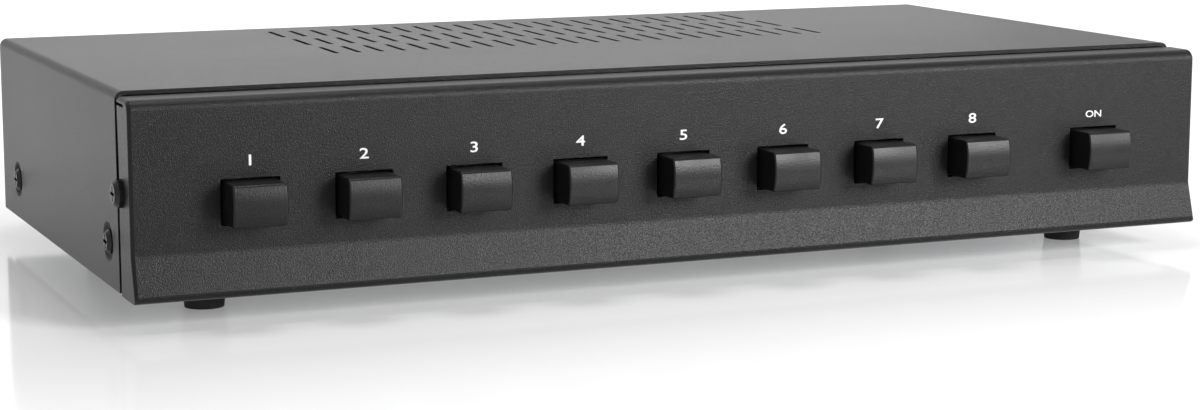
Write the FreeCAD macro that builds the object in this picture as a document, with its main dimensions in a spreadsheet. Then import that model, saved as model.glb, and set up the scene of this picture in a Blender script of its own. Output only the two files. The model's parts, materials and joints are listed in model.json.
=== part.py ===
import FreeCAD, Part
import math
import os
import re
import Sketcher

# Speaker selector switch: a black sheet steel case with nine push buttons in its
# folded front panel and nine blocks of spring terminals on its back.
# X runs along the front from left to right, Y from front to back and Z up.
# Heights are taken from the underside of the case floor and depths from the front
# edge of the cover; every body is then placed by stand_y and stand_z so that the
# origin is under the middle of the whole part, on the plane of its feet.

SIZES = {
    # case
    "case_wide": 340.0,        # over the sides of the cover
    "case_tall": 55.3,         # floor underside to cover top
    "cover_deep": 160.9,
    "cover_sheet": 1.2,
    "cover_bend": 2.5,         # outer radius
    "fit_gap": 0.4,            # loose gap between neighbouring sheets
    # vents in the cover
    "vent_count": 24.0,
    "vent_rows": 3.0,
    "vent_pitch": 7.27,
    "vent_wide": 2.2,
    "vent_long": 20.0,
    "vent_row_pitch": 28.2,
    "vent_first_y": 82.5,      # middle of the front row
    # dimples and screws in the sides
    "dimple_rim": 5.8,
    "dimple_floor": 4.4,
    "dimple_deep": 1.2,
    "side_screw_z": 12.4,
    "side_screw_front_y": 12.4,
    "side_screw_back_y": 137.6,
    "seam_screw_y": -4.2,
    "seam_screw_z": 28.1,
    "side_head": 3.5,
    "side_head_tall": 2.1,
    "seam_head": 4.0,
    "seam_head_tall": 2.3,
    "shank": 1.5,
    "screw_clear": 0.2,
    "side_shank_long": 5.0,
    "recess_long": 4.2,
    "recess_wide": 0.9,
    "recess_deep": 1.3,
    # front panel
    "panel_sheet": 1.5,
    "panel_front": 14.5,       # panel face ahead of the cover's edge
    "seam_wide": 2.4,
    "panel_top_bend": 3.0,
    "panel_side_bevel": 0.8,
    "crease_z": 12.0,
    "crease_bend": 5.0,
    "flare": 3.0,              # how far the foot of the panel leans out
    "flare_bend": 2.2,
    "panel_low": 0.5,          # panel foot below the floor
    "relief_tall": 0.7,
    "relief_long": 7.0,
    # push buttons
    "button_inset": 33.1,      # first button from the left side
    "last_inset": 80.73,       # eighth button from the right side
    "protect_inset": 37.1,     # protection button from the right side
    "button_z": 25.4,
    "cap_wide": 15.32,
    "cap_tall": 11.4,
    "cap_out": 10.24,          # crown ahead of the panel face
    "cap_long": 13.7,
    "crown_radius": 16.7,
    "cap_edge": 0.7,
    "cap_gap": 0.6,
    "travel": 4.0,
    "stem_wide": 5.0,
    "stem_tall": 4.0,
    "stem_socket": 5.0,
    "stem_reach": 4.0,         # stem end behind the cover's edge
    "slide_fit": 0.05,
    # switches and the wall that carries them
    "wall_y": -6.0,
    "wall_sheet": 1.5,
    "wall_window_wide": 8.0,
    "wall_window_tall": 7.0,
    "wall_flange": 16.0,
    "switch_wide": 12.0,
    "switch_tall": 11.0,
    "switch_back": 6.5,        # housing behind the end of the pressed stem
    # chassis
    "floor_sheet": 1.5,
    "side_wall_tall": 22.0,
    "ear_tall": 40.0,
    "ear_long": 16.0,
    # feet
    "foot_radius": 6.6,
    "foot_low_radius": 5.6,
    "foot_tall": 8.5,
    "foot_inset_x": 27.5,
    "foot_front_y": 15.7,
    "foot_back_y": 137.0,
    "foot_bore": 3.6,
    "foot_bore_deep": 5.0,
    "low_head": 3.0,
    "low_head_tall": 1.7,
    # back
    "back_inset": 1.0,         # back panel ahead of the cover's rear edge
    "back_sheet": 1.5,
    "back_flange": 10.0,
    "back_flange_tall": 22.0,
    "block_gap": 2.0,
    "block_tall": 33.0,
    "block_out": 8.0,
    "block_in": 9.0,
    "block_lip": 1.0,
    "block_z": 28.0,
    "block_edge": 0.7,
    "row_pitch": 16.0,
    "pocket_wide": 11.6,
    "pocket_deep": 6.2,
    "pocket_top": 5.4,
    "pocket_low": 4.2,
    "lever_gap": 0.4,
    "hinge_in": 2.2,           # hinge axis behind the block face
    "hinge_up": 3.2,           # hinge axis above the middle of a port
    "hub": 1.7,
    "pin": 1.0,
    "pin_fit": 0.05,
    "pin_out": 1.5,
    "tab_out": 4.5,
    "wire_hole": 3.0,
    "wire_hole_z": -6.6,       # middle of the wire hole below the port's middle
    "wire_funnel": 0.45,
    "contact_wide": 2.4,
    "contact_thick": 0.5,
    "contact_in": 3.0,
    # boards
    "board_sheet": 1.6,
    "main_board_wide": 300.0,
    "rear_board_margin": 0.0,  # rear board past the last terminal block
    "rear_board_tall": 38.0,
    "standoff": 3.0,
    "standoff_x": 140.0,
    "standoff_front_y": 22.0,
    "standoff_back_y": 128.0,
    "resistor_long": 38.0,
    "resistor_deep": 12.0,
    "resistor_tall": 10.0,
    "resistor_x": 62.0,
    "resistor_y": 100.0,
    "resistor_edge": 1.0,
}

# Lengths that follow from the sizes above.
DERIVED = {
    "half": "case_wide / 2",
    "button_first_x": "button_inset - case_wide / 2",
    "button_pitch": "(case_wide - button_inset - last_inset) / 7",
    "protect_x": "case_wide / 2 - protect_inset",
    "cover_in_x": "case_wide / 2 - cover_sheet",
    "cover_in_z": "case_tall - cover_sheet",
    "wall_out_x": "case_wide / 2 - cover_sheet - dimple_deep",
    "wall_in_x": "case_wide / 2 - cover_sheet - dimple_deep - floor_sheet",
    "panel_in_x": "case_wide / 2 - panel_sheet",
    "ledge_z": "case_tall - cover_sheet",
    "ledge_in_z": "case_tall - cover_sheet - panel_sheet",
    "face_y": "-panel_front",
    "face_in_y": "panel_sheet - panel_front",
    "crown_y": "-panel_front - cap_out",
    "floor_front_y": "-panel_front + panel_sheet + 1.3",
    "back_y": "cover_deep - back_inset",
    "back_in_y": "cover_deep - back_inset - back_sheet",
    "rear_board_wide": "8 * block_pitch + block_wide + 2 * rear_board_margin",
    "block_pitch": "(case_wide - 16) / 9",
    "block_wide": "block_pitch - block_gap",
    "block_face_y": "cover_deep - back_inset + block_out",
    "rear_board_y": "cover_deep - back_inset - block_in - board_sheet",
    "board_z": "button_z - switch_tall / 2",
    "switch_long": "stem_reach + travel - wall_y - wall_sheet + switch_back",
    "hinge_y": "cover_deep - back_inset + block_out - hinge_in",
    "stand_y": "(panel_front + cap_out - cover_deep + back_inset - block_out - tab_out) / 2",
    "stand_z": "foot_tall",
}

doc = FreeCAD.newDocument("speaker_selector_switch")
sheet = doc.addObject("Spreadsheet::Sheet", "dims")
for row, (alias, value) in enumerate(SIZES.items(), start=1):
    sheet.set(f"A{row}", alias)
    sheet.set(f"B{row}", str(value))
    sheet.setAlias(f"B{row}", alias)
doc.recompute()

WORD = re.compile(r"[a-z_]+")


def bind(text):
    """Turn a formula in plain size names into one the document can read."""
    def swap(match):
        word = match.group(0)
        if word in DERIVED:
            return "(" + bind(DERIVED[word]) + ")"
        return "dims." + word if word in SIZES else word
    return WORD.sub(swap, str(text))


def tie(item, **formulas):
    """Bind properties of an object to formulas; a double underscore stands for a dot."""
    for prop, text in formulas.items():
        item.setExpression(prop.replace("__", "."), bind(text))
    return item


def value(text):
    return float(sheet.evalExpression(bind(text)))


def stand(item):
    """Move a finished sub-part from case measure to the part's own frame."""
    return tie(item, Placement__Base__y="stand_y", Placement__Base__z="stand_z")


def new_body(name, several=False):
    body = doc.addObject("PartDesign::Body", name)
    body.Label = name
    body.AllowCompound = several
    return stand(body)


def origin_item(body, role):
    return next(item for item in body.Origin.OriginFeatures if item.Role == role)


def new_sketch(body, name, plane, level):
    """A sketch on a plane of the body's own origin, lifted to a level along +X, +Y or +Z."""
    sketch = body.newObject("Sketcher::SketchObject", name)
    sketch.AttachmentSupport = (origin_item(body, plane), "")
    sketch.MapMode = "FlatFace"
    sign = "-1 * " if plane == "XZ_Plane" else ""
    return tie(sketch, AttachmentOffset__Base__z=f"{sign}({level})")


def hold(sketch, kind, geometry, point, text):
    """Fix one coordinate of a sketch point to a formula."""
    number = sketch.addConstraint(Sketcher.Constraint(kind, -1, 1, geometry, point, value(text)))
    sketch.setExpression(f"Constraints[{number}]", bind(text))


def outline(body, name, plane, level, corners):
    """A closed outline of straight lines whose corners are formulas."""
    sketch = new_sketch(body, name, plane, level)
    spots = [FreeCAD.Vector(value(a), value(b), 0) for a, b in corners]
    count = len(spots)
    for i in range(count):
        sketch.addGeometry(Part.LineSegment(spots[i], spots[(i + 1) % count]))
    for i in range(count):
        sketch.addConstraint(Sketcher.Constraint("Coincident", i, 2, (i + 1) % count, 1))
    for i, (a, b) in enumerate(corners):
        hold(sketch, "DistanceX", i, 1, a)
        hold(sketch, "DistanceY", i, 1, b)
    return sketch


def box_outline(body, name, plane, level, low_a, high_a, low_b, high_b):
    corners = [(low_a, low_b), (high_a, low_b), (high_a, high_b), (low_a, high_b)]
    return outline(body, name, plane, level, corners)


def ring(body, name, plane, level, a, b, radius):
    """A circle whose centre and radius are formulas."""
    sketch = new_sketch(body, name, plane, level)
    centre = FreeCAD.Vector(value(a), value(b), 0)
    sketch.addGeometry(Part.Circle(centre, FreeCAD.Vector(0, 0, 1), value(radius)))
    hold(sketch, "DistanceX", 0, 3, a)
    hold(sketch, "DistanceY", 0, 3, b)
    number = sketch.addConstraint(Sketcher.Constraint("Radius", 0, value(radius)))
    sketch.setExpression(f"Constraints[{number}]", bind(radius))
    return sketch


def many_sided(body, name, plane, level, a, b, radius, sides=8):
    """A regular polygon whose flats touch a circle of the given radius."""
    corners = []
    for i in range(sides):
        turn = math.radians(360 * (i + 0.5) / sides)
        reach = 1 / math.cos(math.pi / sides)
        corners.append((f"({a}) + ({radius}) * {reach * math.cos(turn):.6f}",
                        f"({b}) + ({radius}) * {reach * math.sin(turn):.6f}"))
    return outline(body, name, plane, level, corners)


def slot_outline(body, name, level, x, y, width, length):
    """A slot along Y whose ends are rounded in three short facets each."""
    corners = []
    for i in range(8):
        turn = math.radians(-67.5 + 45 * i)
        side, end = math.cos(turn) / math.cos(math.pi / 8), math.sin(turn) / math.cos(math.pi / 8)
        reach = "+" if 0 < i < 5 else "-"
        corners.append((f"({x}) + {width} / 2 * {side:.6f}",
                        f"({y}) {reach} ({length} - {width}) / 2 + {width} / 2 * {end:.6f}"))
    return outline(body, name, "XY_Plane", level, corners)


def pad(body, name, sketch, length):
    """Add material from the sketch toward +X, +Y or +Z."""
    feature = body.newObject("PartDesign::Pad", name)
    feature.Profile = sketch
    feature.Reversed = "XZ_Plane" in sketch.AttachmentSupport[0][0].Role
    return tie(feature, Length=length)


def pocket(body, name, sketch, length):
    """Take material away from the sketch toward +X, +Y or +Z."""
    feature = body.newObject("PartDesign::Pocket", name)
    feature.Profile = sketch
    feature.Reversed = "XZ_Plane" not in sketch.AttachmentSupport[0][0].Role
    return tie(feature, Length=length)


def pad_box(body, name, x_range, y_range, z_range):
    """Add a box between formulas, drawn in plan."""
    drawn = box_outline(body, name + "_plan", "XY_Plane", z_range[0], *x_range, *y_range)
    return pad(body, name, drawn, f"({z_range[1]}) - ({z_range[0]})")


def pocket_box(body, name, x_range, y_range, z_range):
    drawn = box_outline(body, name + "_plan", "XY_Plane", z_range[0], *x_range, *y_range)
    return pocket(body, name, drawn, f"({z_range[1]}) - ({z_range[0]})")


def repeat(body, name, features, *runs):
    """Repeat features along one or two axes; each run is (axis, step, count)."""
    pattern = body.newObject("PartDesign::LinearPattern", name)
    pattern.Originals = features
    body.Tip = pattern
    for suffix, (axis, step, count) in zip(("", "2"), runs):
        setattr(pattern, "Direction" + suffix, (origin_item(body, axis), [""]))
        setattr(pattern, "Mode" + suffix, "Spacing")
        setattr(pattern, "Occurrences" + suffix, round(value(count)))
        setattr(pattern, "Spacings" + suffix, [-1.0] * (round(value(count)) - 1))
        tie(pattern, **{"Offset" + suffix: step, "Occurrences" + suffix: str(count)})
    return pattern


def edges_where(feature, test):
    """Names of the edges of a feature whose box passes a test."""
    doc.recompute()
    found = [f"Edge{i}" for i, edge in enumerate(feature.Shape.Edges, start=1) if test(edge.BoundBox)]
    if not found:
        raise ValueError(f"no edge found on {feature.Label}")
    return found


def near(a, b):
    return abs(a - b) < 0.02


def round_edges(body, name, feature, test, radius):
    fillet = body.newObject("PartDesign::Fillet", name)
    fillet.Base = (feature, edges_where(feature, test))
    return tie(fillet, Radius=radius)


def bevel_edges(body, name, feature, test, size):
    chamfer = body.newObject("PartDesign::Chamfer", name)
    chamfer.Base = (feature, edges_where(feature, test))
    return tie(chamfer, Size=size)


# Top cover: a steel sheet bent down over both sides, with vents and four dimples.
cover = new_body("top_cover")
arch = outline(cover, "cover_arch", "XZ_Plane", "0", [
    ("-half", "0"), ("-cover_in_x", "0"), ("-cover_in_x", "cover_in_z"), ("cover_in_x", "cover_in_z"),
    ("cover_in_x", "0"), ("half", "0"), ("half", "case_tall"), ("-half", "case_tall")])
shell = pad(cover, "cover_shell", arch, "cover_deep")
bend = round_edges(cover, "cover_bend_out", shell,
                   lambda b: near(b.YLength, value("cover_deep")) and near(b.ZMax, value("case_tall")),
                   "cover_bend")
bend = round_edges(cover, "cover_bend_in", bend,
                   lambda b: near(b.YLength, value("cover_deep")) and near(b.ZMin, value("cover_in_z")),
                   "cover_bend - cover_sheet")


def cone(body, kind, name, side, y, z, x, wide, narrow, length):
    """A cone along X whose wide end is at x and which narrows toward the inside."""
    feature = body.newObject(f"PartDesign::{kind}Cone", name)
    feature.AttachmentSupport = (origin_item(body, "YZ_Plane"), "")
    feature.MapMode = "FlatFace"
    if side > 0:
        feature.AttachmentOffset = FreeCAD.Placement(FreeCAD.Vector(), FreeCAD.Rotation(180, 0, 180))
    tie(feature, AttachmentOffset__Base__x=y, AttachmentOffset__Base__y=z,
        AttachmentOffset__Base__z=f"{side} * ({x})")
    return tie(feature, Radius1=wide, Radius2=narrow, Height=length)


SIDES = (("left", -1), ("right", 1))
ENDS = ("side_screw_front_y", "side_screw_back_y")
for side_name, side in SIDES:
    for end in ENDS:
        tag = f"{side_name}_{end.split('_')[2]}"
        cone(cover, "Additive", f"dimple_{tag}", side, end, "side_screw_z", "cover_in_x",
             "dimple_rim + 0.6", "dimple_floor + 0.9", "dimple_deep")
        cone(cover, "Subtractive", f"dimple_hollow_{tag}", side, end, "side_screw_z", "half",
             "dimple_rim", "dimple_floor", "dimple_deep")
        hole = many_sided(cover, f"dimple_hole_plan_{tag}", "YZ_Plane", f"{side} * half - 5", end,
                          "side_screw_z", "shank + screw_clear")
        pocket(cover, f"dimple_hole_{tag}", hole, "10")

slot = slot_outline(cover, "vent_plan", "cover_in_z - 1", "-vent_pitch * (vent_count - 1) / 2",
                    "vent_first_y", "vent_wide", "vent_long")
vent = pocket(cover, "vent", slot, "cover_sheet + 2")
repeat(cover, "vents", [vent], ("X_Axis", "vent_pitch", "vent_count"),
       ("Y_Axis", "vent_row_pitch", "vent_rows"))

# Bottom chassis: a tray with low side walls, and a taller ear at each front corner.
chassis = new_body("bottom_chassis")
pad_box(chassis, "chassis_floor", ("-wall_out_x", "wall_out_x"), ("floor_front_y", "back_y"),
        ("0", "floor_sheet"))
for side_name, side in SIDES:
    span = ("-wall_out_x", "-wall_in_x") if side < 0 else ("wall_in_x", "wall_out_x")
    boss = ("-panel_in_x", "-wall_in_x") if side < 0 else ("wall_in_x", "panel_in_x")
    pad_box(chassis, f"side_wall_{side_name}", span, ("floor_front_y", "back_in_y"),
            ("0", "side_wall_tall"))
    pad_box(chassis, f"ear_{side_name}", span, ("floor_front_y", "floor_front_y + ear_long"),
            ("0", "ear_tall"))
    pad_box(chassis, f"ear_boss_{side_name}", boss, ("floor_front_y", "-0.5"),
            ("seam_screw_z - 9", "seam_screw_z + 9"))
    for spot, (y, z) in enumerate([(end, "side_screw_z") for end in ENDS]
                                  + [("seam_screw_y", "seam_screw_z")]):
        hole = many_sided(chassis, f"tapped_plan_{side_name}_{spot}", "YZ_Plane", f"{side} * half - 8",
                          y, z, "shank")
        pocket(chassis, f"tapped_{side_name}_{spot}", hole, "16")
FEET = [(sx, y) for sx in (-1, 1) for y in ("foot_front_y", "foot_back_y")]
FLANGE_SCREWS = [(sx * part, "back_in_y - back_flange / 2") for sx in (-1, 1) for part in (1, 3)]
LOW_SCREWS = [(f"{sx} * (half - foot_inset_x)", y) for sx, y in FEET] \
    + [(f"{k} * block_pitch", y) for k, y in FLANGE_SCREWS]
for spot, (x, y) in enumerate(LOW_SCREWS):
    hole = many_sided(chassis, f"low_hole_plan_{spot}", "XY_Plane", "-1", x, y, "shank")
    pocket(chassis, f"low_hole_{spot}", hole, "floor_sheet + 2")

# Front panel: a folded shell, upright over the buttons and flared out at its foot.
panel = new_body("front_panel")
fold = outline(panel, "panel_fold", "YZ_Plane", "-half", [
    ("-seam_wide", "ledge_z"), ("face_y", "ledge_z"), ("face_y", "crease_z"),
    ("face_y - flare", "1.8"), ("face_y - flare", "-panel_low"),
    ("floor_front_y - fit_gap", "-panel_low"), ("floor_front_y - fit_gap", "panel_sheet - panel_low"),
    ("face_in_y - flare", "panel_sheet - panel_low"), ("face_in_y - flare", "2.1"),
    ("face_in_y", "crease_z + 0.2"), ("face_in_y", "ledge_in_z"), ("-seam_wide", "ledge_in_z")])
skin = pad(panel, "panel_skin", fold, "case_wide")
for side_name, side in SIDES:
    level = "-half" if side < 0 else "panel_in_x"
    cheek = outline(panel, f"cheek_plan_{side_name}", "YZ_Plane", level, [
        ("-seam_wide", "ledge_z"), ("face_y", "ledge_z"), ("face_y", "crease_z"),
        ("face_y - flare", "1.8"), ("face_y - flare", "-panel_low"), ("-seam_wide", "-panel_low")])
    skin = pad(panel, f"cheek_{side_name}", cheek, "panel_sheet")
skin = round_edges(panel, "panel_top_round", skin,
                   lambda b: near(b.XLength, value("case_wide")) and near(b.YMax, value("face_y"))
                   and near(b.ZMin, value("ledge_z")), "panel_top_bend")
skin = round_edges(panel, "panel_foot_round", skin,
                   lambda b: near(b.XLength, value("case_wide")) and near(b.YMin, value("face_y - flare"))
                   and near(b.ZMax, value("-panel_low")), "flare_bend")
skin = round_edges(panel, "panel_top_round_in", skin,
                   lambda b: b.XLength > value("2 * panel_in_x - 1") and near(b.YMin, value("face_in_y"))
                   and near(b.ZMin, value("ledge_in_z")), "panel_top_bend - panel_sheet")
skin = round_edges(panel, "crease_round", skin,
                   lambda b: near(b.XLength, value("case_wide")) and near(b.YMin, value("face_y"))
                   and near(b.ZMax, value("crease_z")), "crease_bend")
skin = round_edges(panel, "crease_round_in", skin,
                   lambda b: b.XLength > value("2 * panel_in_x - 1") and near(b.YMin, value("face_in_y"))
                   and near(b.ZMax, value("crease_z + 0.2")), "crease_bend + panel_sheet")
skin = bevel_edges(panel, "panel_side_bevel", skin,
                   lambda b: near(abs(b.XMin), value("half")) and near(abs(b.XMax), value("half"))
                   and b.XLength < 1 and b.YMax < value("face_y + 3.1") and b.ZMax > value("crease_z"),
                   "panel_side_bevel")
for side_name, side in SIDES:
    lip = ("-half - 1", "-panel_in_x") if side < 0 else ("panel_in_x", "half + 1")
    pocket_box(panel, f"corner_relief_{side_name}", lip, ("-seam_wide - relief_long", "0"),
               ("ledge_in_z - relief_tall", "ledge_in_z"))
    hole = many_sided(panel, f"seam_hole_plan_{side_name}", "YZ_Plane", f"{side} * half - 5",
                      "seam_screw_y", "seam_screw_z", "shank + screw_clear")
    pocket(panel, f"seam_hole_{side_name}", hole, "10")


def window(body, name, middle_x, level, wide, tall, depth):
    drawn = box_outline(body, name + "_plan", "XZ_Plane", level,
                        f"{middle_x} - {wide} / 2", f"{middle_x} + {wide} / 2",
                        f"button_z - {tall} / 2", f"button_z + {tall} / 2")
    return pocket(body, name, drawn, depth)


protect_window = window(panel, "protect_window", "protect_x", "face_y - 2",
                        "(cap_wide + 2 * cap_gap)", "(cap_tall + 2 * cap_gap)", "panel_sheet + 4")
first_window = window(panel, "first_window", "button_first_x", "face_y - 2",
                      "(cap_wide + 2 * cap_gap)", "(cap_tall + 2 * cap_gap)", "panel_sheet + 4")
repeat(panel, "windows", [first_window], ("X_Axis", "button_pitch", 8))

# Switch wall: an inner wall behind the panel that carries the switches and the panel's ledge.
wall = new_body("switch_wall")
rest = outline(wall, "wall_fold", "YZ_Plane", "-wall_in_x", [
    ("wall_y", "floor_sheet"), ("wall_y", "ledge_in_z"), ("wall_y + wall_flange", "ledge_in_z"),
    ("wall_y + wall_flange", "ledge_in_z - wall_sheet"), ("wall_y + wall_sheet", "ledge_in_z - wall_sheet"),
    ("wall_y + wall_sheet", "floor_sheet + wall_sheet"), ("wall_y + 10", "floor_sheet + wall_sheet"),
    ("wall_y + 10", "floor_sheet")])
pad(wall, "wall_skin", rest, "2 * wall_in_x")
window(wall, "protect_wall_window", "protect_x", "wall_y - 1", "wall_window_wide",
       "wall_window_tall", "wall_sheet + 2")
first_window = window(wall, "first_wall_window", "button_first_x", "wall_y - 1", "wall_window_wide",
                      "wall_window_tall", "wall_sheet + 2")
repeat(wall, "wall_windows", [first_window], ("X_Axis", "button_pitch", 8))

# Switches: nine closed housings behind the wall, each with a square slideway.
switches = new_body("switch_bodies", several=True)
SWITCH_Y = ("wall_y + wall_sheet", "wall_y + wall_sheet + switch_long")


def switch(tag, middle_x):
    drawn = box_outline(switches, f"switch_plan_{tag}", "XZ_Plane", SWITCH_Y[0],
                        f"{middle_x} - switch_wide / 2", f"{middle_x} + switch_wide / 2",
                        "button_z - switch_tall / 2", "button_z + switch_tall / 2")
    case = pad(switches, f"switch_case_{tag}", drawn, "switch_long")
    way = window(switches, f"slideway_{tag}", middle_x, f"{SWITCH_Y[0]} - 1",
                 "(stem_wide + 2 * slide_fit)", "(stem_tall + 2 * slide_fit)", "switch_long - 1")
    return [case, way]


switch("protect", "protect_x")
repeat(switches, "switch_row", switch("first", "button_first_x"), ("X_Axis", "button_pitch", 8))


def block(name, x, y, z):
    """A plain box between pairs of formulas."""
    item = doc.addObject("Part::Box", name)
    tie(item, Length=f"({x[1]}) - ({x[0]})", Width=f"({y[1]}) - ({y[0]})", Height=f"({z[1]}) - ({z[0]})")
    return tie(item, Placement__Base__x=x[0], Placement__Base__y=y[0], Placement__Base__z=z[0])


def mix(kind, name, *items):
    """Join (MultiFuse), cut (Cut), share (Common) or group (Compound) some objects."""
    item = doc.addObject(f"Part::{kind}", name)
    if kind in ("Cut", "Common"):
        item.Base, item.Tool = items
    elif kind == "Compound":
        item.Links = list(items)
    else:
        item.Shapes = list(items)
    item.Label = name
    return item


def push_button(name, middle_x):
    """A cap with a crowned front and rounded edges, on a square stem."""
    sides = (f"{middle_x} - cap_wide / 2", f"{middle_x} + cap_wide / 2")
    heights = ("button_z - cap_tall / 2", "button_z + cap_tall / 2")
    raw = block(name + "_raw", sides, ("crown_y", "crown_y + cap_long"), heights)
    drum = doc.addObject("Part::Cylinder", name + "_crown")
    drum.Placement = FreeCAD.Placement(FreeCAD.Vector(), FreeCAD.Rotation(FreeCAD.Vector(0, 1, 0), 90))
    tie(drum, Radius="crown_radius", Height="cap_wide + 4", Placement__Base__x=f"{middle_x} - cap_wide / 2 - 2",
        Placement__Base__y="crown_y + crown_radius", Placement__Base__z="button_z")
    crowned = mix("Common", name + "_crowned", raw, drum)
    doc.recompute()
    soft = doc.addObject("Part::Chamfer", name + "_soft")
    soft.Base = crowned
    back = value("crown_y + cap_long") - 0.02
    soft.Edges = [(i, value("cap_edge"), value("cap_edge"))
                  for i, edge in enumerate(crowned.Shape.Edges, start=1) if edge.BoundBox.YMax < back
                  or edge.BoundBox.YLength > 5]
    stem_x = (f"{middle_x} - stem_wide / 2", f"{middle_x} + stem_wide / 2")
    stem_z = ("button_z - stem_tall / 2", "button_z + stem_tall / 2")
    socket_y = "crown_y + cap_long - stem_socket"
    socket = block(name + "_socket", stem_x, (socket_y, "crown_y + cap_long + 1"), stem_z)
    cap = mix("Cut", name + "_cap", soft, socket)
    stem = block(name + "_stem", stem_x, (socket_y, "stem_reach"), stem_z)
    return stand(mix("Compound", name, cap, stem))


buttons = [push_button(f"button_{i + 1}", f"(button_first_x + {i} * button_pitch)") for i in range(8)]
buttons.append(push_button("button_protection", "protect_x"))

# Back panel: a sheet inside the cover's rear edge with flanges onto the tray.
back = new_body("rear_panel")
pad_box(back, "back_sheet_pad", ("-cover_in_x + fit_gap", "cover_in_x - fit_gap"),
        ("back_in_y", "back_y"), ("floor_sheet", "cover_in_z - fit_gap"))
pad_box(back, "back_low_flange", ("-wall_in_x", "wall_in_x"), ("back_in_y - back_flange", "back_in_y"),
        ("floor_sheet", "floor_sheet + back_sheet"))
for side_name, side in SIDES:
    span = ("-wall_in_x", "-wall_in_x + back_sheet") if side < 0 else ("wall_in_x - back_sheet", "wall_in_x")
    pad_box(back, f"back_side_flange_{side_name}", span, ("back_in_y - back_flange", "back_in_y"),
            ("floor_sheet", "back_flange_tall"))
for spot, (x, y) in enumerate(LOW_SCREWS[4:]):
    hole = many_sided(back, f"flange_hole_plan_{spot}", "XY_Plane", "0", x, y, "shank")
    pocket(back, f"flange_hole_{spot}", hole, "floor_sheet + back_sheet + 2")
drawn = box_outline(back, "block_opening_plan", "XZ_Plane", "back_in_y - 1",
                    "-4 * block_pitch - block_wide / 2 + block_lip", "-4 * block_pitch + block_wide / 2 - block_lip",
                    "block_z - block_tall / 2 + block_lip", "block_z + block_tall / 2 - block_lip")
opening = pocket(back, "block_opening", drawn, "back_sheet + 2")
repeat(back, "block_openings", [opening], ("X_Axis", "block_pitch", 9))

# Terminal blocks: nine housings with four lever pockets and four wire holes each.
blocks = new_body("terminal_blocks", several=True)
drawn = box_outline(blocks, "block_plan", "XZ_Plane", "back_y", "-4 * block_pitch - block_wide / 2",
                    "-4 * block_pitch + block_wide / 2", "block_z - block_tall / 2", "block_z + block_tall / 2")
outer = pad(blocks, "block_outer", drawn, "block_out")
drawn = box_outline(blocks, "block_inner_plan", "XZ_Plane", "back_y - block_in",
                    "-4 * block_pitch - block_wide / 2 + block_lip",
                    "-4 * block_pitch + block_wide / 2 - block_lip",
                    "block_z - block_tall / 2 + block_lip", "block_z + block_tall / 2 - block_lip")
inner = pad(blocks, "block_inner", drawn, "block_in")
repeat(blocks, "block_row", [outer, inner], ("X_Axis", "block_pitch", 9))
FIRST_PORT_X = "-4 * block_pitch - block_pitch / 4"
FIRST_PORT_Z = "block_z - row_pitch / 2 + 1"
PORTS = (("X_Axis", "block_pitch / 2", 18), ("Z_Axis", "row_pitch", 2))
drawn = box_outline(blocks, "pocket_plan", "XZ_Plane", "block_face_y - pocket_deep",
                    f"{FIRST_PORT_X} - pocket_wide / 2", f"{FIRST_PORT_X} + pocket_wide / 2",
                    f"{FIRST_PORT_Z} - pocket_low", f"{FIRST_PORT_Z} + pocket_top")
lever_pocket = pocket(blocks, "lever_pocket", drawn, "pocket_deep + 1")
drawn = box_outline(blocks, "wire_plan", "XZ_Plane", "back_y - block_in - 1",
                    f"{FIRST_PORT_X} - wire_hole / 2", f"{FIRST_PORT_X} + wire_hole / 2",
                    f"{FIRST_PORT_Z} + wire_hole_z - wire_hole / 2",
                    f"{FIRST_PORT_Z} + wire_hole_z + wire_hole / 2")
wire = pocket(blocks, "wire_way", drawn, "block_in + block_out + 2")
PIN_REACH = "(pocket_wide / 2 - lever_gap + pin_out + 0.4)"
drawn = many_sided(blocks, "pin_plan", "YZ_Plane", f"{FIRST_PORT_X} - {PIN_REACH}", "hinge_y",
                   f"{FIRST_PORT_Z} + hinge_up", "pin + pin_fit")
pin_way = pocket(blocks, "pin_way", drawn, f"2 * {PIN_REACH}")
ports = repeat(blocks, "ports", [lever_pocket, wire, pin_way], *PORTS)
on_face = lambda b: near(b.YMin, value("block_face_y")) and near(b.YMax, value("block_face_y"))
ports = bevel_edges(blocks, "block_bevel", ports,
                    lambda b: on_face(b) and (near(b.XLength, value("block_wide"))
                                              or near(b.ZLength, value("block_tall"))), "block_edge")
bevel_edges(blocks, "wire_funnels", ports,
            lambda b: on_face(b) and near(b.XLength + b.ZLength, value("wire_hole")), "wire_funnel")

# Contacts: a flat strip on the floor of each wire hole, back to the rear board.
contacts = new_body("terminal_contacts", several=True)
strip = pad_box(contacts, "strip", (f"{FIRST_PORT_X} - contact_wide / 2", f"{FIRST_PORT_X} + contact_wide / 2"),
                ("back_y - block_in", "block_face_y - contact_in"),
                (f"{FIRST_PORT_Z} + wire_hole_z - wire_hole / 2",
                 f"{FIRST_PORT_Z} + wire_hole_z - wire_hole / 2 + contact_thick"))
repeat(contacts, "strips", [strip], *PORTS)


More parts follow.
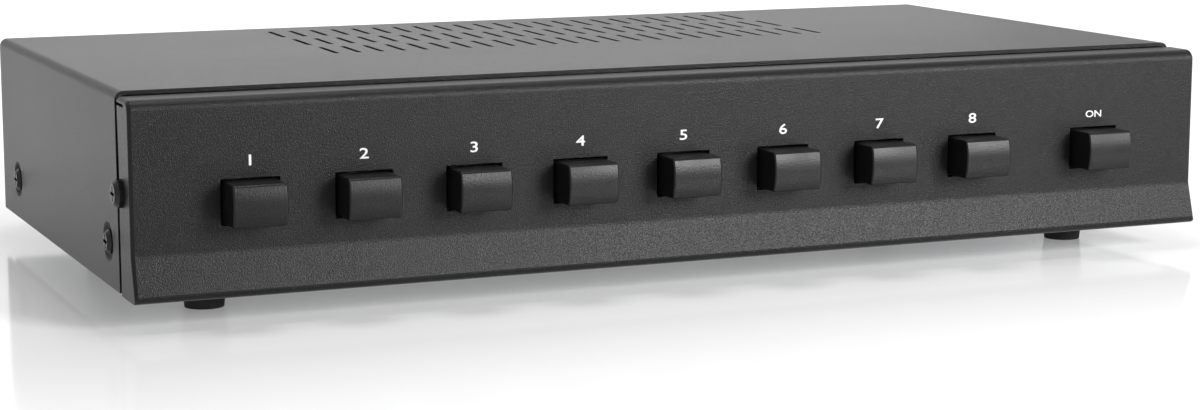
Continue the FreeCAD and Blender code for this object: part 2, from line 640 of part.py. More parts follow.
def lever(name, x, z):
    """A push lever: a hub on two pins, a leaf in the pocket and a tab outside it."""
    body = new_body(name)
    half_wide = "(pocket_wide / 2 - lever_gap)"
    leaf = outline(body, name + "_leaf_plan", "YZ_Plane", f"{x} - {half_wide}", [
        ("hinge_y - hub", f"{z} + hinge_up + 0.4 * hub"), ("hinge_y - hub", f"{z} - 2.3"),
        ("hinge_y - hub + 0.5", f"{z} - 2.6"),
        ("block_face_y - 1", f"{z} - 2.8"), ("block_face_y + tab_out - 0.5", f"{z} - 2.1"),
        ("block_face_y + tab_out", f"{z} - 1.6"), ("block_face_y + tab_out", f"{z} - 0.8"),
        ("block_face_y + tab_out - 0.5", f"{z} - 0.3"), ("block_face_y + 0.5", f"{z} + 0.9"),
        ("hinge_y + hub", f"{z} + hinge_up - 0.2 * hub"), ("hinge_y + hub", f"{z} + hinge_up + 0.4 * hub"),
        ("hinge_y + 0.4 * hub", f"{z} + hinge_up + hub"), ("hinge_y - 0.4 * hub", f"{z} + hinge_up + hub")])
    pad(body, name + "_leaf", leaf, f"2 * {half_wide}")
    pin = ring(body, name + "_pin_plan", "YZ_Plane", f"{x} - {half_wide} - pin_out", "hinge_y",
               f"{z} + hinge_up", "pin")
    pad(body, name + "_pin", pin, f"2 * {half_wide} + 2 * pin_out")
    return body


levers = []
CHANNELS = ["input"] + [str(n) for n in range(1, 9)]
for number, channel in enumerate(CHANNELS):
    for column, channel_side in enumerate(("left", "right")):
        for row, pole in enumerate(("minus", "plus")):
            port_x = f"({FIRST_PORT_X} + {2 * number + column} * block_pitch / 2)"
            port_z = f"({FIRST_PORT_Z} + {row} * row_pitch)"
            levers.append(lever(f"lever_{channel}_{channel_side}_{pole}", port_x, port_z))

# Boards: a level one on standoffs under the switches, an upright one behind the terminals.
main_board = new_body("main_board")
pad_box(main_board, "main_board_pad", ("-main_board_wide / 2", "main_board_wide / 2"),
        (SWITCH_Y[0], "rear_board_y"), ("board_z - board_sheet", "board_z"))
rear_board = new_body("terminal_board")
pad_box(rear_board, "rear_board_pad", ("-rear_board_wide / 2", "rear_board_wide / 2"),
        ("rear_board_y", "rear_board_y + board_sheet"),
        ("block_z - rear_board_tall / 2", "block_z + rear_board_tall / 2"))

standoffs = new_body("board_standoffs", several=True)
post = pad(standoffs, "post", many_sided(standoffs, "post_plan", "XY_Plane", "floor_sheet", "-standoff_x",
                                         "standoff_front_y", "standoff", 6),
           "board_z - board_sheet - floor_sheet")
repeat(standoffs, "posts", [post], ("X_Axis", "standoff_x", 3),
       ("Y_Axis", "standoff_back_y - standoff_front_y", 2))

resistors = new_body("protection_resistors", several=True)
stick = pad_box(resistors, "stick", ("-resistor_x - resistor_long / 2", "-resistor_x + resistor_long / 2"),
                ("resistor_y - resistor_deep / 2", "resistor_y + resistor_deep / 2"),
                ("board_z", "board_z + resistor_tall"))
sticks = repeat(resistors, "sticks", [stick], ("X_Axis", "resistor_x", 3))
bevel_edges(resistors, "stick_bevel", sticks,
            lambda b: near(b.XLength, value("resistor_long")) and b.ZMin > value("board_z") + 1,
            "resistor_edge")

# Rubber feet: slightly tapered, each with a bore for its screw head.
feet = []
for number, (sx, y) in enumerate(FEET):
    x = f"{sx} * (half - foot_inset_x)"
    pieces = []
    for piece, (kind, low, tall, r) in enumerate((
            ("Cone", "-foot_tall", "foot_tall", None), ("Prism", "-foot_tall - 1", "foot_bore_deep + 1", "foot_bore"),
            ("Prism", "-foot_tall - 1", "foot_tall + 2", "shank + screw_clear"))):
        item = doc.addObject(f"Part::{kind}", f"foot_{number}_{piece}")
        if kind == "Cone":
            tie(item, Radius1="foot_low_radius", Radius2="foot_radius")
        else:
            item.Polygon = 12
            tie(item, Circumradius=r)
        tie(item, Height=tall, Placement__Base__x=x, Placement__Base__y=y, Placement__Base__z=low)
        pieces.append(item)
    bored = mix("Cut", f"foot_{number}_bored", pieces[0], pieces[1])
    feet.append(mix("Cut", f"foot_{number}", bored, pieces[2]))
rubber_feet = stand(mix("Compound", "rubber_feet", *feet))


def screw(name, head, head_tall, shank_long, spot, turn, recess=True):
    """A pan head screw drawn upright with its seat at zero, with a cross recess or plain."""
    parts = []
    for piece, (sides, r, low, tall) in enumerate(((16, head, "0", head_tall),
                                                   (8, "shank", f"-({shank_long})", shank_long))):
        item = doc.addObject("Part::Prism", f"{name}_{piece}")
        item.Polygon = sides
        parts.append(tie(item, Circumradius=r, Height=tall, Placement__Base__z=low))
    doc.recompute()
    dome = doc.addObject("Part::Chamfer", name + "_dome")
    dome.Base = parts[0]
    top = value(head_tall)
    dome.Edges = [(i, 0.5 * top, 0.5 * top) for i, edge in enumerate(parts[0].Shape.Edges, start=1)
                  if edge.BoundBox.ZMin > top - 0.02]
    marked = dome
    if recess:
        cross = []
        for piece, (a, b) in enumerate((("recess_long", "recess_wide"), ("recess_wide", "recess_long"))):
            cross.append(block(f"{name}_recess_{piece}", (f"-{a} / 2", f"{a} / 2"), (f"-{b} / 2", f"{b} / 2"),
                               (f"{head_tall} - recess_deep", f"{head_tall} + 1")))
        marked = mix("Cut", name + "_marked", dome, mix("MultiFuse", name + "_cross", *cross))
    whole = mix("MultiFuse", name, marked, parts[1])
    whole.Placement = FreeCAD.Placement(FreeCAD.Vector(), turn)
    return tie(whole, Placement__Base__x=spot[0], Placement__Base__y=spot[1], Placement__Base__z=spot[2])


case_screws = []
for side_name, side in SIDES:
    turn = FreeCAD.Rotation(FreeCAD.Vector(0, 1, 0), 90 * side)
    for number, end in enumerate(ENDS):
        case_screws.append(screw(f"side_screw_{side_name}_{number}", "side_head", "side_head_tall",
                                 "side_shank_long", (f"{side} * (half - dimple_deep)", end, "side_screw_z"), turn))
    case_screws.append(screw(f"seam_screw_{side_name}", "seam_head", "seam_head_tall", "half - wall_in_x - 0.2",
                             (f"{side} * half", "seam_screw_y", "seam_screw_z"), turn))
side_screws = stand(mix("Compound", "case_screws", *case_screws))

UNDER = FreeCAD.Rotation(FreeCAD.Vector(1, 0, 0), 180)
low_screws = []
for number, (x, y) in enumerate(LOW_SCREWS):
    seat = "foot_bore_deep - foot_tall" if number < 4 else "0"
    reach = "foot_tall - foot_bore_deep + floor_sheet" if number < 4 else "floor_sheet + back_sheet + 1"
    low_screws.append(screw(f"low_screw_{number}", "low_head", "low_head_tall", reach, (x, y, seat), UNDER,
                            recess=False))
chassis_screws = stand(mix("Compound", "chassis_screws", *low_screws))

NODES = [cover, chassis, panel, wall, switches, back, blocks, contacts, main_board, rear_board,
         standoffs, resistors, rubber_feet, side_screws, chassis_screws] + buttons + levers

doc.recompute()
for item in doc.Objects:
    if "Invalid" in item.State or "Error" in item.State:
        raise RuntimeError(f"{item.Name} did not compute")
os.makedirs("parts", exist_ok=True)
for node in NODES:
    if node.Shape.isNull() or not node.Shape.isValid():
        raise RuntimeError(f"{node.Label} has a bad shape")
    node.Shape.exportStep(os.path.join("parts", node.Label + ".step"))
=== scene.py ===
import json
import math
from functools import cached_property

import bmesh
import bpy
from bpy.props import FloatProperty, FloatVectorProperty, PointerProperty
from mathutils import Matrix, Vector


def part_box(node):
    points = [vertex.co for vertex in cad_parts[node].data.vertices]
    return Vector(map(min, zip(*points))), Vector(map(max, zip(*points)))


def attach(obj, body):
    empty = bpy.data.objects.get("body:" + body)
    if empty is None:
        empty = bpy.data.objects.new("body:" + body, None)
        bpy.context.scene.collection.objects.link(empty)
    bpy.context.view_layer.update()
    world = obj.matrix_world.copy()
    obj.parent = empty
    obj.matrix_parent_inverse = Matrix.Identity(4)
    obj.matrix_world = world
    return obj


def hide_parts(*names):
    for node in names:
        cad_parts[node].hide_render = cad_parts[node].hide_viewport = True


bl_info = {
    "name": "Speaker Selector Switch",
    "version": (1, 0, 0),
    "blender": (4, 5, 0),
    "location": "View3D > Sidebar > Selector",
    "description": "Dresses the speaker selector switch and sets up its stage",
    "category": "Object",
}

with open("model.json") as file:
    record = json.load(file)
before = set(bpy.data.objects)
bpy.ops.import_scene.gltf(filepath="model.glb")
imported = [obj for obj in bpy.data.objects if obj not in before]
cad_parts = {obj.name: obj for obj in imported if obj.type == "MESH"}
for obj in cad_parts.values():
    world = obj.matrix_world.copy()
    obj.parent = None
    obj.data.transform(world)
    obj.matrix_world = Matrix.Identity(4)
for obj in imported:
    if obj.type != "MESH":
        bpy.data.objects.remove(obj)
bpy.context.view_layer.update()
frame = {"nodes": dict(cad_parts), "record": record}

BUTTONS = [f"button_{n}" for n in range(1, 9)] + ["button_protection"]
LEVERS = [name for name in frame["nodes"] if name.startswith("lever_")]
CHANNELS = ["input"] + [str(n) for n in range(1, 9)]
BODY_OF = {node: body for body, nodes in frame["record"]["behaviour"]["bodies"].items() for node in nodes}


def middle(node):
    low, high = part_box(node)
    return (Vector(low) + Vector(high)) / 2


def low_corner(node):
    return Vector(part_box(node)[0])


def high_corner(node):
    return Vector(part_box(node)[1])


# Shader maths

class Wire:
    """A socket whose arithmetic adds Math nodes to its tree."""

    def __init__(self, paint, socket):
        self.paint, self.socket = paint, socket

    def _math(self, operation, first, second):
        return self.paint.node("ShaderNodeMath", {"operation": operation}, {0: first, 1: second})

    def __add__(self, other):
        return self._math("ADD", self, other)

    def __sub__(self, other):
        return self._math("SUBTRACT", self, other)

    def __mul__(self, other):
        return self._math("MULTIPLY", self, other)

    def most(self, other):
        return self._math("MAXIMUM", self, other)


class Paint:
    """The node tree of a new material or world; node() makes every node in it."""

    def __init__(self, name, holders="materials"):
        self.holder = getattr(bpy.data, holders).new(name)
        self.holder.use_nodes = True
        self.tree = self.holder.node_tree
        self.tree.nodes.clear()

    @cached_property
    def place(self):
        return self.node("ShaderNodeTexCoord", out="Object")

    def node(self, kind, settings=None, inputs=None, out=0):
        made = self.tree.nodes.new(kind)
        for key, setting in (settings or {}).items():
            setattr(made, key, setting)
        for key, source in (inputs or {}).items():
            socket = made.inputs[key]
            if isinstance(source, Wire):
                self.tree.links.new(source.socket, socket)
            elif socket.type == "RGBA" and len(source) == 3:
                socket.default_value = (*source, 1.0)
            else:
                socket.default_value = source
        return Wire(self, made.outputs[out]) if made.outputs else None

    def noise(self, scale, detail=2.0, roughness=0.5):
        return self.node("ShaderNodeTexNoise", None,
                         {"Vector": self.place, "Scale": scale, "Detail": detail, "Roughness": roughness})

    def stretched(self, factors):
        return self.node("ShaderNodeMapping", None, {"Vector": self.place, "Scale": factors})

    def blend(self, factor, first, second):
        return self.node("ShaderNodeMix", {"data_type": "RGBA"}, {0: factor, 6: first, 7: second}, 2)

    def spread(self, value, low, high, to_low, to_high):
        """Carry a value from one range to another."""
        return self.node("ShaderNodeMapRange", None, {"Value": value, "From Min": low, "From Max": high,
                                                      "To Min": to_low, "To Max": to_high})

    def bump(self, height, distance, strength=1.0):
        return self.node("ShaderNodeBump", None, {"Height": height, "Distance": distance, "Strength": strength})

    def seen(self):
        """One for rays of the camera and for reflected and see-through rays, nought for the rest."""
        flag = self.node("ShaderNodeLightPath", out="Is Camera Ray")
        for ray in ("Is Glossy Ray", "Is Transmission Ray"):
            flag = flag.most(self.node("ShaderNodeLightPath", out=ray))
        return flag

    def finish(self, **sockets):
        """Shade a material by values named as its shader's sockets and close its tree."""
        shader = self.node("ShaderNodeBsdfPrincipled", None,
                           {key.replace("_", " "): source for key, source in sockets.items()})
        self.node("ShaderNodeOutputMaterial", None, {"Surface": shader})
        return self.holder


def grey(level):
    return (level, level, level)


def powder_coat(name, colour):
    """Fine textured black powder coat on sheet steel."""
    p = Paint(name)
    grain = p.noise(3700.0, 1.0, 0.5)
    pits = p.noise(2300.0, 1.0, 0.5)
    patch = p.noise(9.0, 3.0)
    speck = p.spread(p.noise(2700.0, 1.0, 0.5), 0.45, 0.72, 0.0, 1.0)
    tone = p.blend(speck, tuple(0.8 * c for c in colour), tuple(1.9 * c for c in colour))
    tone = p.blend(p.spread(patch, 0.35, 0.7, 0.0, 0.25), tone, tuple(1.3 * c for c in colour))
    normal = p.bump(grain * 0.8 + pits * 0.4, 0.00014, 1.0)
    rough = p.spread(patch, 0.3, 0.7, 0.29, 0.33) - speck * 0.03
    return p.finish(Base_Color=tone, Roughness=rough, Normal=normal, Specular_IOR_Level=0.19)


def moulded(name, colour, rough, grain_scale=2600.0, depth=0.00002, variety=0.25, gloss=0.5):
    """Moulded plastic with a spark-eroded grain and slight handling shine."""
    p = Paint(name)
    grain = p.noise(grain_scale, 2.0)
    patch = p.noise(60.0, 3.0)
    tone = p.blend(patch, tuple((1 - variety) * c for c in colour), tuple((1 + variety) * c for c in colour))
    worn = p.spread(patch, 0.3, 0.7, rough - 0.06, rough + 0.06)
    return p.finish(Base_Color=tone, Roughness=worn, Normal=p.bump(grain, depth, 0.7), Specular_IOR_Level=gloss)


def zinc(name, colour):
    """Zinc plated sheet with a faint rolling grain."""
    p = Paint(name)
    grain = p.node("ShaderNodeTexNoise", None, {"Vector": p.stretched((30.0, 900.0, 900.0)), "Scale": 1.0,
                                                "Detail": 3.0})
    spangle = p.noise(90.0, 2.0)
    tone = p.blend(spangle, tuple(0.8 * c for c in colour), colour)
    return p.finish(Base_Color=tone, Metallic=1.0, Roughness=p.spread(grain, 0.3, 0.7, 0.32, 0.48),
                    Normal=p.bump(grain, 0.00002, 0.5))


def rubber(name, colour):
    p = Paint(name)
    dust = p.noise(240.0, 4.0)
    tone = p.blend(p.spread(dust, 0.5, 0.8, 0.0, 0.5), colour, grey(0.05))
    return p.finish(Base_Color=tone, Roughness=p.spread(dust, 0.3, 0.7, 0.72, 0.85),
                    Normal=p.bump(p.noise(1600.0), 0.00004, 0.6))


def blackened(name, colour):
    """Black oxide screws with a little bright wear."""
    p = Paint(name)
    fine = p.noise(900.0, 3.0)
    tone = p.blend(p.spread(fine, 0.6, 0.78, 0.0, 0.5), colour, grey(0.06))
    return p.finish(Base_Color=tone, Metallic=0.35, Roughness=p.spread(fine, 0.3, 0.7, 0.24, 0.34),
                    Normal=p.bump(fine, 0.00002, 0.4), Specular_IOR_Level=0.4)


def print_ink(name, colour):
    """Screen printed ink, a little uneven at its edges."""
    p = Paint(name)
    fine = p.noise(1400.0, 2.0)
    tone = p.blend(p.spread(fine, 0.35, 0.65, 0.0, 1.0), tuple(0.86 * c for c in colour), colour)
    return p.finish(Base_Color=tone, Roughness=p.spread(fine, 0.3, 0.7, 0.5, 0.62),
                    Normal=p.bump(fine, 0.00003, 0.5))


def laminate(name, colour):
    """Brown circuit board with a faint weave and darker clouding."""
    p = Paint(name)
    weave = p.node("ShaderNodeTexWave", {"bands_direction": "X"}, {"Vector": p.place, "Scale": 600.0})
    cloud = p.noise(50.0, 3.0)
    tone = p.blend(cloud, tuple(0.7 * c for c in colour), colour)
    return p.finish(Base_Color=tone, Roughness=p.spread(cloud, 0.3, 0.7, 0.4, 0.55),
                    Normal=p.bump(weave, 0.00002, 0.4))


MATERIALS = {}


def make_materials(looks):
    coat = tuple(looks.coat_colour)
    plastic = tuple(looks.button_colour)
    MATERIALS.update({
        "black_coat": powder_coat("black_powder_coat", coat),
        "zinc": zinc("zinc_plate", (0.52, 0.53, 0.54)),
        "switch_plastic": moulded("switch_housing", (0.28, 0.29, 0.31), 0.5),
        "block_plastic": moulded("terminal_block", grey(0.022), 0.42),
        "contact_metal": zinc("tinned_contact", (0.62, 0.58, 0.48)),
        "board": laminate("board_laminate", (0.33, 0.22, 0.10)),
        "ceramic": moulded("resistor_ceramic", (0.72, 0.70, 0.66), 0.75, 900.0, 0.0001),
        "foot_rubber": rubber("foot_rubber", grey(0.016)),
        "screw_black": blackened("black_oxide", grey(0.009)),
        "button_plastic": moulded("button_cap", plastic, 0.33, 2600.0, 0.00009, gloss=0.22),
        "lever_red": moulded("red_lever", tuple(looks.lever_colour), 0.3),
        "lever_black": moulded("black_lever", grey(0.018), 0.3),
        "ink": print_ink("white_print", tuple(looks.ink_colour)),
    })


# Modelling helpers

TOUCH = 0.0001          # slack when a face or edge is picked by its place
MERGE = 0.000002        # points of a model node closer than this are one
FLAT = math.radians(0.5)
COVER_EASE = 0.0006
CAP_LONG = 0.0137
CAP_WALL = 0.0014
CAP_FACE = 0.0035
CROWN_RADIUS = 0.0167
CROWN_POINTS = 160
STEM_WIDE, STEM_TALL = 0.005, 0.004
PRINT_THICK = 0.00002
TYPE_SIZE = 1.39        # size of the type for capitals one unit high

def clear_selection():
    for item in bpy.context.selected_objects:
        item.select_set(False)


def take(item):
    """Make one object the only selected and the active one."""
    clear_selection()
    item.select_set(True)
    bpy.context.view_layer.objects.active = item


def settle(item, name, slot, body, *nodes):
    """Name a finished piece, give it its finish and seat it on its body."""
    take(item)
    bpy.ops.object.transform_apply(location=True, rotation=True, scale=True)
    item.name = item.data.name = name
    item.data.materials.clear()
    item.data.materials.append(MATERIALS[slot])
    if nodes:
        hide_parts(*nodes)
    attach(item, body)
    return item


def smooth(item, angle=32.0):
    """Smooth shading that keeps broad flat faces flat."""
    take(item)
    bpy.ops.object.shade_smooth_by_angle(angle=math.radians(angle))
    weighted = item.modifiers.new("flats", "WEIGHTED_NORMAL")
    weighted.keep_sharp = True
    bpy.ops.object.modifier_apply(modifier="flats")


def edit_all(item):
    """Open a piece in edit mode with everything on it selected."""
    take(item)
    bpy.ops.object.mode_set(mode="EDIT")
    bpy.ops.mesh.select_mode(type="FACE")
    bpy.ops.mesh.select_all(action="SELECT")


def pick_faces(item, test):
    """In edit mode, select only the faces whose centre and normal pass a test."""
    bpy.ops.mesh.select_all(action="DESELECT")
    bpy.ops.object.mode_set(mode="OBJECT")
    for face in item.data.polygons:
        face.select = test(face.center, face.normal)
    bpy.ops.object.mode_set(mode="EDIT")


def trim(spot, outward):
    """In edit mode, cut off and close everything past a plane."""
    bpy.ops.mesh.select_all(action="SELECT")
    bpy.ops.mesh.bisect(plane_co=spot, plane_no=outward, use_fill=True, clear_outer=True)


def soften(item, width, segments, test=None, angle=30.0):
    """Round the sharp edges of a piece, or those of them whose middle passes a test."""
    bevel = item.modifiers.new("ease", "BEVEL")
    bevel.width, bevel.segments = width, segments
    bevel.use_clamp_overlap = True
    if test is None:
        bevel.limit_method, bevel.angle_limit = "ANGLE", math.radians(angle)
    else:
        mesh = bmesh.new()
        mesh.from_mesh(item.data)
        weight = mesh.edges.layers.float.new("bevel_weight_edge")
        for edge in mesh.edges:
            sharp = len(edge.link_faces) == 2 and edge.calc_face_angle() > math.radians(angle)
            edge[weight] = float(sharp and test((edge.verts[0].co + edge.verts[1].co) / 2))
        mesh.to_mesh(item.data)
        mesh.free()
        bevel.limit_method = "WEIGHT"
    take(item)
    bpy.ops.object.modifier_apply(modifier="ease")


def soft_copy(node, slot, width, segments=2, angle=25.0, test=None):
    """A copy of a model node with its flat faces joined and its sharp edges eased."""
    source = frame["nodes"][node]
    copy = bpy.data.objects.new(node + "_soft", source.data.copy())
    bpy.context.scene.collection.objects.link(copy)
    take(copy)
    bpy.ops.object.mode_set(mode="EDIT")
    bpy.ops.mesh.select_all(action="SELECT")
    bpy.ops.mesh.remove_doubles(threshold=MERGE)
    bpy.ops.mesh.dissolve_limited(angle_limit=FLAT)
    bpy.ops.object.mode_set(mode="OBJECT")
    soften(copy, width, segments, test, angle)
    smooth(copy)
    return settle(copy, node + "_eased", slot, BODY_OF[node], node)


def words(text, name, height, spot, turn, broad=1.0, weight=0.0):
    """Printed characters as a thin raised mesh on the case."""
    clear_selection()
    bpy.ops.object.text_add(location=(0, 0, 0))
    item = bpy.context.active_object
    item.data.body = text
    item.data.size = height * TYPE_SIZE
    item.data.align_x, item.data.align_y = "CENTER", "CENTER"
    item.data.extrude = PRINT_THICK
    item.data.offset = weight
    item.data.resolution_u = 4
    take(item)
    bpy.ops.object.convert(target="MESH")
    item.matrix_world = Matrix.Translation(spot) @ turn @ Matrix.Diagonal((broad, 1.0, 1.0, 1.0))
    return settle(item, name, "ink", "case")


def cap_and_stem(size, edge):
    """A hollow cap with a crowned front, from a drum cut flat on five sides, on its square stem."""
    bpy.ops.mesh.primitive_cylinder_add(vertices=CROWN_POINTS, radius=CROWN_RADIUS, depth=size.x,
                                        location=(0, CROWN_RADIUS, 0), rotation=(0, math.pi / 2, 0))
    cap = bpy.context.active_object
    take(cap)
    bpy.ops.object.transform_apply(location=True, rotation=True, scale=True)
    edit_all(cap)
    trim((0, 0, size.z / 2), (0, 0, 1))
    trim((0, 0, -size.z / 2), (0, 0, -1))
    trim((0, CAP_LONG, 0), (0, 1, 0))
    pick_faces(cap, lambda at, normal: normal.y > 0.99)
    bpy.ops.mesh.inset(thickness=CAP_WALL)
    bpy.ops.mesh.extrude_region_move(TRANSFORM_OT_translate={"value": (0, CAP_FACE - CAP_LONG, 0)})
    bpy.ops.mesh.inset(thickness=(size.z - 2 * CAP_WALL - STEM_TALL) / 2)
    bpy.ops.transform.resize(value=(STEM_WIDE / (size.x - size.z + STEM_TALL), 1, 1))
    bpy.ops.mesh.extrude_region_move(TRANSFORM_OT_translate={"value": (0, size.y - CAP_FACE, 0)})
    bpy.ops.object.mode_set(mode="OBJECT")
    outer = Vector((size.x / 2 - TOUCH, CAP_LONG - TOUCH, size.z / 2 - TOUCH))
    soften(cap, edge, 3, lambda at: at.y < outer.y and (abs(at.x) > outer.x or abs(at.z) > outer.z))
    smooth(cap)
    return cap


FACE_FRONT = Matrix.Rotation(math.radians(90), 4, "X")
FACE_BACK = Matrix.Rotation(math.radians(180), 4, "Z") @ FACE_FRONT

# Print: how far each line stands from the middle of its button or the edge of the blocks
PANEL_FOOT_OUT = 0.003
NUMBER_RISE, ON_RISE = 0.0111, 0.0103
NUMBER_BROAD, NUMBER_WEIGHT = 1.4, 0.00004
ON_BROAD, ON_WEIGHT, ON_SHARE = 1.3, 0.00003, 0.7
BACK_NUMBER, BACK_NUMBER_RISE = 0.0034, 0.0042
BACK_SIDE, BACK_SIDE_DROP = 0.0022, 0.0028


# Sizes and colours a user may change

class SelectorLooks(bpy.types.PropertyGroup):
    coat_colour: FloatVectorProperty(
        name="Case colour", description="Powder coat of the cover and panels", subtype="COLOR",
        default=(0.006, 0.006, 0.0062), min=0.0, max=1.0)
    button_colour: FloatVectorProperty(
        name="Button colour", description="Moulded caps of the push buttons", subtype="COLOR",
        default=(0.006, 0.006, 0.0062), min=0.0, max=1.0)
    lever_colour: FloatVectorProperty(
        name="Lever colour", description="Levers of the positive terminals", subtype="COLOR",
        default=(0.50, 0.012, 0.012), min=0.0, max=1.0)
    ink_colour: FloatVectorProperty(
        name="Print colour", description="Numbers and marks on the panels", subtype="COLOR",
        default=(0.80, 0.80, 0.80), min=0.0, max=1.0)
    number_height: FloatProperty(
        name="Number height", description="Height of the numbers over the buttons", unit="LENGTH",
        default=0.0030, min=0.001, max=0.01)
    cap_radius: FloatProperty(
        name="Cap edge", description="Radius along the edges of the push button caps", unit="LENGTH",
        default=0.0006, min=0.0001, max=0.0015)
    edge_ease: FloatProperty(
        name="Sheet edge", description="How far the edges of the sheet parts are eased", unit="LENGTH",
        default=0.00025, min=0.00005, max=0.001)


class SELECTOR_OT_finishes(bpy.types.Operator):
    """Make the finishes and put them on the model's own nodes"""
    bl_idname = "selector.finishes"
    bl_label = "Finishes"

    def execute(self, context):
        make_materials(context.scene.selector_looks)
        for part in frame["record"]["subparts"]:
            node = frame["nodes"][part["node"]]
            node.data.materials.clear()
            node.data.materials.append(MATERIALS[part["material_slot"]])
        return {"FINISHED"}


class SELECTOR_OT_case(bpy.types.Operator):
    """Ease the edges of the cover and the front and rear panels"""
    bl_idname = "selector.case"
    bl_label = "Case"

    def execute(self, context):
        width = context.scene.selector_looks.edge_ease
        for node in ("front_panel", "rear_panel"):
            soft_copy(node, "black_coat", width)
        front = low_corner("top_cover").y + TOUCH
        top = high_corner("top_cover").z - TOUCH
        soft_copy("top_cover", "black_coat", COVER_EASE, 3, test=lambda at: at.y < front and at.z > top)
        return {"FINISHED"}


class SELECTOR_OT_buttons(bpy.types.Operator):
    """Mould the crowned caps of the push buttons and their stems"""
    bl_idname = "selector.buttons"
    bl_label = "Push buttons"

    def execute(self, context):
        looks = context.scene.selector_looks
        first = BUTTONS[0]
        size = high_corner(first) - low_corner(first)
        pattern = cap_and_stem(size, looks.cap_radius)
        for node in BUTTONS:
            button = pattern.copy()
            button.data = pattern.data.copy()
            context.scene.collection.objects.link(button)
            at = middle(node)
            button.location = (at.x, low_corner(node).y, at.z)
            settle(button, node + "_cap", "button_plastic", BODY_OF[node], node)
        bpy.data.objects.remove(pattern)
        return {"FINISHED"}


class SELECTOR_OT_terminals(bpy.types.Operator):
    """Ease the terminal blocks and their levers"""
    bl_idname = "selector.terminals"
    bl_label = "Terminals"

    def execute(self, context):
        soft_copy("terminal_blocks", "block_plastic", 0.0002, 1)
        for node in LEVERS:
            soft_copy(node, "lever_red" if node.endswith("plus") else "lever_black", 0.0002, 1, 40.0)
        return {"FINISHED"}


class SELECTOR_OT_numbers(bpy.types.Operator):
    """Print the numbers over the buttons"""
    bl_idname = "selector.numbers"
    bl_label = "Front numbers"

    def execute(self, context):
        looks = context.scene.selector_looks
        face = low_corner("front_panel").y + PANEL_FOOT_OUT
        for number, node in enumerate(BUTTONS[:8], start=1):
            at = middle(node)
            words(str(number), f"number_{number}", looks.number_height,
                  Vector((at.x, face - PRINT_THICK, at.z + NUMBER_RISE)), FACE_FRONT,
                  NUMBER_BROAD, NUMBER_WEIGHT)
        at = middle(BUTTONS[8])
        words("ON", "on_mark", ON_SHARE * looks.number_height,
              Vector((at.x, face - PRINT_THICK, at.z + ON_RISE)), FACE_FRONT, ON_BROAD, ON_WEIGHT)
        return {"FINISHED"}


class SELECTOR_OT_back_marks(bpy.types.Operator):
    """Print the channel numbers over the terminals and the R and L marks under them"""
    bl_idname = "selector.back_marks"
    bl_label = "Back marks"

    def execute(self, context):
        face = high_corner("rear_panel").y
        top, low = high_corner("terminal_blocks").z, low_corner("terminal_blocks").z
        for channel in CHANNELS:
            ports = [middle(f"lever_{channel}_{side}_plus").x for side in ("left", "right")]
            at = sum(ports) / 2
            words("IN" if channel == "input" else channel, f"back_number_{channel}", BACK_NUMBER,
                  Vector((at, face + PRINT_THICK, top + BACK_NUMBER_RISE)), FACE_BACK)
            for side, x in zip("RL", ports):
                words(side, f"back_{side}_{channel}", BACK_SIDE,
                      Vector((x, face + PRINT_THICK, low - BACK_SIDE_DROP)), FACE_BACK)
        return {"FINISHED"}


FLOOR_SIZE = 10.0
FLOOR_COLOUR = (0.84, 0.84, 0.845)
FLOOR_ROUGHNESS, FLOOR_SPECULAR = 0.1, 0.4
FLOOR_CORE = (0.17, 0.10, 0.0)      # half length and half depth of the floor under the case
SHADE_FADE_FROM, SHADE_FADE_TO = 0.015, 0.16    # distances past the core over which the painted shade round the case fades out
# glow of the floor at the edge of the core, kept low as painted shade, and far from the case
GLOW_IN_PAINTED_SHADE, GLOW_HIGH = 0.17, 0.45
SURROUND_DIM, SURROUND_WHITE = 0.45, 1.0
LAMP_AIM = Vector((0, 0, 0.03))
LAMPS = (                           # name, place, width and power
    ("lamp_over", (0.0, 0.0, 1.0), 0.3, 3.0),
    ("lamp_back", (0.45, 1.35, 0.5), 1.0, 0.9),
    ("lamp_front", (0.54, -0.97, 0.42), 0.42, 15.5),
)
CAMERA_PLACE = (-0.32919, -0.76789, 0.14516)
CAMERA_YAW, CAMERA_PITCH = 0.4098, 0.1591
CAMERA_SENSOR = 36.0
FOCAL_PIXELS, PICTURE_PIXELS = 2621.6, 1200.0
CAMERA_NEAR, CAMERA_FAR = 0.01, 50.0


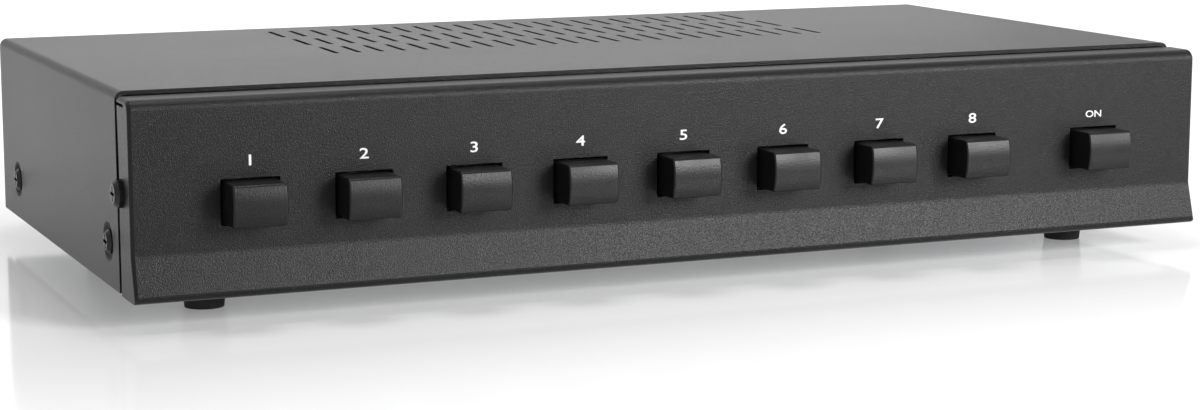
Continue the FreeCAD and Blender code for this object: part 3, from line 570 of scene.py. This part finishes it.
class SELECTOR_OT_stage(bpy.types.Operator):
    """Pale floor with painted shade round the case, white surround, soft lamps and the camera"""
    bl_idname = "selector.stage"
    bl_label = "Stage"

    def execute(self, context):
        scene = context.scene
        scene.view_settings.view_transform = "Standard"
        clear_selection()
        bpy.ops.mesh.primitive_plane_add(size=FLOOR_SIZE, location=(0, 0, 0))
        floor = bpy.context.active_object
        floor.name = "floor"
        p = Paint("pale_floor_painted_shade")
        beyond = p.node("ShaderNodeVectorMath", {"operation": "ABSOLUTE"}, {0: p.place})
        beyond = p.node("ShaderNodeVectorMath", {"operation": "SUBTRACT"}, {0: beyond, 1: FLOOR_CORE})
        beyond = p.node("ShaderNodeVectorMath", {"operation": "MAXIMUM"}, {0: beyond, 1: (0.0, 0.0, 0.0)})
        away = p.node("ShaderNodeVectorMath", {"operation": "LENGTH"}, {0: beyond}, out="Value")
        glaze = p.node("ShaderNodeBsdfPrincipled", None, {
            "Base Color": FLOOR_COLOUR, "Roughness": FLOOR_ROUGHNESS, "Specular IOR Level": FLOOR_SPECULAR})
        # The floor glows less close to the case: painted shade for the case's shadow and reflection on the
        # floor
        glow_with_painted_shade = p.node("ShaderNodeEmission", None, {
            "Color": grey(1.0), "Strength": p.spread(away, SHADE_FADE_FROM, SHADE_FADE_TO, GLOW_IN_PAINTED_SHADE, GLOW_HIGH)})
        both = p.node("ShaderNodeAddShader", None, {0: glaze, 1: glow_with_painted_shade})
        mixed = p.node("ShaderNodeMixShader", None, {0: p.seen(), 1: glaze, 2: both})
        p.node("ShaderNodeOutputMaterial", None, {"Surface": mixed})
        floor.data.materials.append(p.holder)

        surround = Paint("white_surround", "worlds")
        dim = surround.node("ShaderNodeBackground", None, {"Strength": SURROUND_DIM})
        white = surround.node("ShaderNodeBackground", None, {"Strength": SURROUND_WHITE})
        mixed = surround.node("ShaderNodeMixShader", None, {0: surround.seen(), 1: dim, 2: white})
        surround.node("ShaderNodeOutputWorld", None, {"Surface": mixed})
        scene.world = surround.holder

        for name, place, size, power in LAMPS:
            clear_selection()
            bpy.ops.object.light_add(type="AREA", location=place)
            lamp = bpy.context.active_object
            lamp.name = name
            lamp.data.size, lamp.data.energy = size, power
            aim = LAMP_AIM - Vector(place)
            lamp.rotation_euler = aim.to_track_quat("-Z", "Y").to_euler()

        clear_selection()
        bpy.ops.object.camera_add(location=CAMERA_PLACE)
        camera = bpy.context.active_object
        camera.name = "camera"
        level = math.cos(CAMERA_PITCH)
        forward = Vector((math.sin(CAMERA_YAW) * level, math.cos(CAMERA_YAW) * level, -math.sin(CAMERA_PITCH)))
        camera.rotation_euler = forward.to_track_quat("-Z", "Y").to_euler()
        camera.data.sensor_width = CAMERA_SENSOR
        camera.data.lens = CAMERA_SENSOR * FOCAL_PIXELS / PICTURE_PIXELS
        camera.data.clip_start, camera.data.clip_end = CAMERA_NEAR, CAMERA_FAR
        scene.camera = camera
        return {"FINISHED"}


class SELECTOR_PT_panel(bpy.types.Panel):
    """Steps that dress the selector switch"""
    bl_label = "Speaker selector"
    bl_idname = "SELECTOR_PT_panel"
    bl_space_type = "VIEW_3D"
    bl_region_type = "UI"
    bl_category = "Selector"

    def draw(self, context):
        for step in STEPS:
            self.layout.operator(step.bl_idname)
        looks = context.scene.selector_looks
        for name in SelectorLooks.__annotations__:
            self.layout.prop(looks, name)


STEPS = (SELECTOR_OT_finishes, SELECTOR_OT_case, SELECTOR_OT_buttons, SELECTOR_OT_terminals,
         SELECTOR_OT_numbers, SELECTOR_OT_back_marks, SELECTOR_OT_stage)
CLASSES = (SelectorLooks, *STEPS, SELECTOR_PT_panel)


def register():
    for item in CLASSES:
        bpy.utils.register_class(item)
    bpy.types.Scene.selector_looks = PointerProperty(type=SelectorLooks)


def unregister():
    del bpy.types.Scene.selector_looks
    for item in reversed(CLASSES):
        bpy.utils.unregister_class(item)


def main():
    register()
    bpy.ops.selector.finishes()
    bpy.ops.selector.case()
    bpy.ops.selector.buttons()
    bpy.ops.selector.terminals()
    bpy.ops.selector.numbers()
    bpy.ops.selector.back_marks()
    bpy.ops.selector.stage()


if __name__ == "__main__":
    main()
